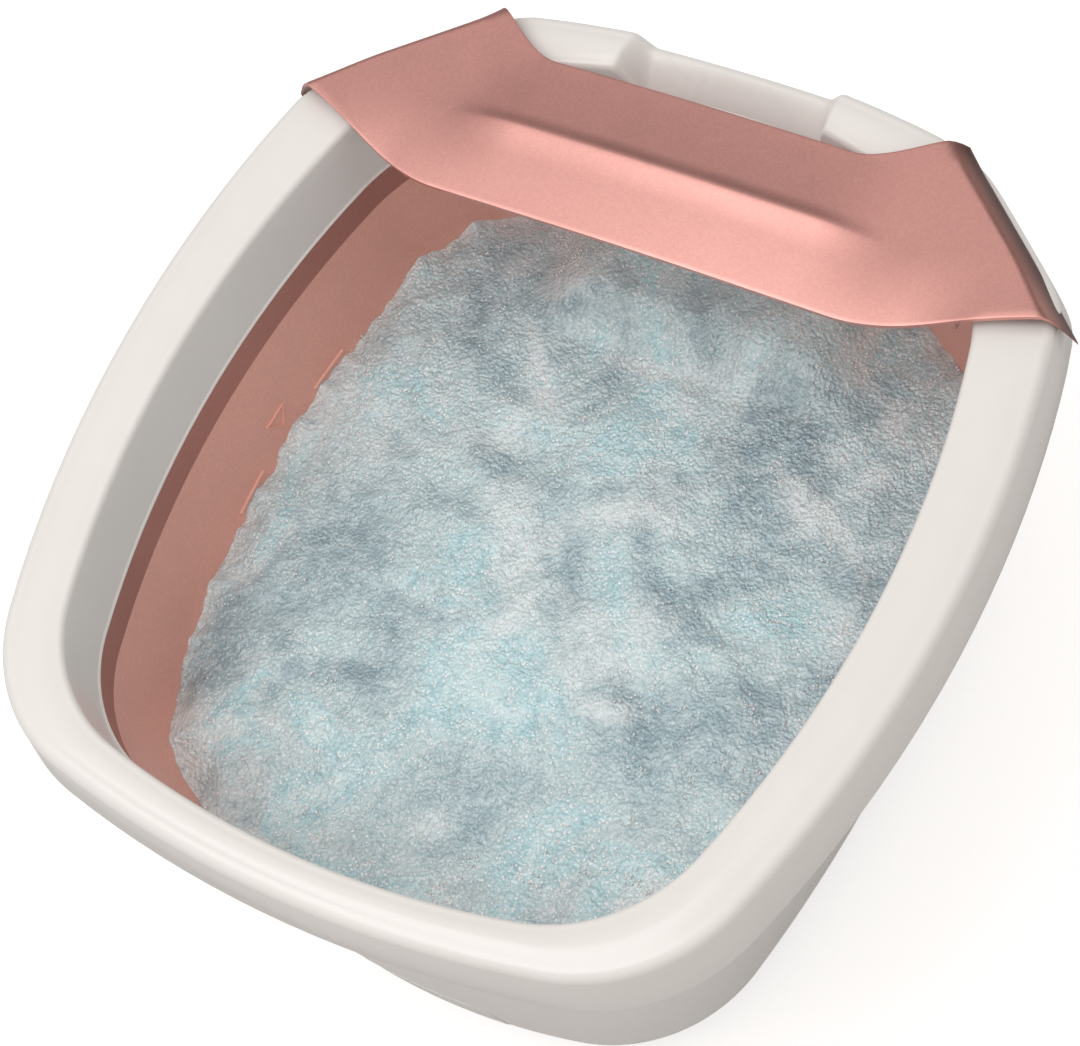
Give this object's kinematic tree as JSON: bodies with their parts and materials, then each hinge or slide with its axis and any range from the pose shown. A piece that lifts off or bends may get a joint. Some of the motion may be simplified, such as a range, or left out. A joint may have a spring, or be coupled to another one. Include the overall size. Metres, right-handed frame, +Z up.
{
  "type": "foot spa bath",
  "caption": "Foot spa bath: white moulded tub with rose-gold basin, lift-off splash guard, pouring notch, massage rollers, lift-off pumice head, toe button and accessory drawer.",
  "frame": {"origin": "on the ground under the middle of the bath", "axes": "+Z up; -Y is the heel end where the user sits, with the drawer; +Y is the toe end with the splash guard and the pouring notch; +X is the user's right"},
  "size_m": [0.3674, 0.3862, 0.214],
  "materials": {
    "white_plastic": "gloss, warm white",
    "rose_gold_plastic": "satin metallic rose gold",
    "grey_plastic": "fine matt",
    "dark_plastic": "fine matt",
    "rubber": "matt",
    "soft_pink_plastic": "satin",
    "steel": "plain",
    "aluminium_plate": "mill",
    "pumice": "coarse porous",
    "board": "coated laminate"
  },
  "bodies": {
    "base": {"rim_cover": "white_plastic", "tub_liner": "rose_gold_plastic", "outer_shell": "white_plastic", "shell_gasket": "rubber", "base_pan": "grey_plastic", "rubber_foot_heel_left": "rubber", "rubber_foot_heel_right": "rubber", "rubber_foot_toe_left": "rubber", "rubber_foot_toe_right": "rubber", "pan_screw_1": "steel", "pan_screw_2": "steel", "pan_screw_3": "steel", "pan_screw_4": "steel", "pan_screw_5": "steel", "pan_screw_6": "steel", "drawer_runner_left": "grey_plastic", "drawer_runner_right": "grey_plastic", "left_massage_plate": "soft_pink_plastic", "right_massage_plate": "soft_pink_plastic", "left_roller_pin": "steel", "right_roller_pin": "steel", "left_roller_cradle": "white_plastic", "right_roller_cradle": "white_plastic", "bubble_strip_left": "white_plastic", "bubble_strip_right": "white_plastic", "pedicure_post": "white_plastic", "button_seal": "rubber", "switch_bracket": "steel", "micro_switch": "dark_plastic", "button_spring": "steel", "heater_plate": "aluminium_plate", "thermostat": "dark_plastic", "air_duct": "grey_plastic", "pump_housing": "dark_plastic", "pump_lid": "dark_plastic", "pump_motor": "steel", "air_hose": "grey_plastic", "shaker_motor": "steel", "shaker_clamp": "grey_plastic", "control_board": "board", "cord_gland": "rubber"},
    "guard": {"splash_guard": "rose_gold_plastic"},
    "drawer": {"drawer_tray": "white_plastic", "stored_brush_head": "soft_pink_plastic", "stored_ball_head": "white_plastic"},
    "button": {"toe_button": "soft_pink_plastic"},
    "left_roller_body": {"left_roller": "white_plastic"},
    "right_roller_body": {"right_roller": "white_plastic"},
    "pumice": {"pumice_head": "pumice"},
    "wheel": {"pump_wheel": "grey_plastic"},
    "weight": {"shaker_weight": "steel"}
  },
  "joints": [
    {"name": "guard_lift", "type": "slide", "parent": "base", "child": "guard", "axis": [0, 0, 1], "range_m": [0, 0.12]},
    {"name": "drawer_slide", "type": "slide", "parent": "base", "child": "drawer", "axis": [0, -1, 0], "range_m": [0, 0.07]},
    {"name": "button_press", "type": "slide", "parent": "base", "child": "button", "axis": [0, 0, -1], "range_m": [0, 0.003], "stiffness_N_per_m": 600, "springref_m": -0.001, "deforming": ["button_spring"]},
    {"name": "left_roller_spin", "type": "hinge", "parent": "base", "child": "left_roller_body", "pos_m": [-0.058, -0.006, 0.0689], "axis": [1, 0, 0], "continuous": true},
    {"name": "right_roller_spin", "type": "hinge", "parent": "base", "child": "right_roller_body", "pos_m": [0.058, -0.006, 0.0689], "axis": [1, 0, 0], "continuous": true},
    {"name": "pumice_lift", "type": "slide", "parent": "base", "child": "pumice", "axis": [0, 0, 1], "range_m": [0, 0.045]},
    {"name": "pump_spin", "type": "hinge", "parent": "base", "child": "wheel", "pos_m": [-0.05, 0.02, 0.0215], "axis": [0, 0, 1], "continuous": true},
    {"name": "weight_spin", "type": "hinge", "parent": "base", "child": "weight", "pos_m": [0.052, -0.0277, 0.0272], "axis": [0, 1, 0], "continuous": true}
  ]
}
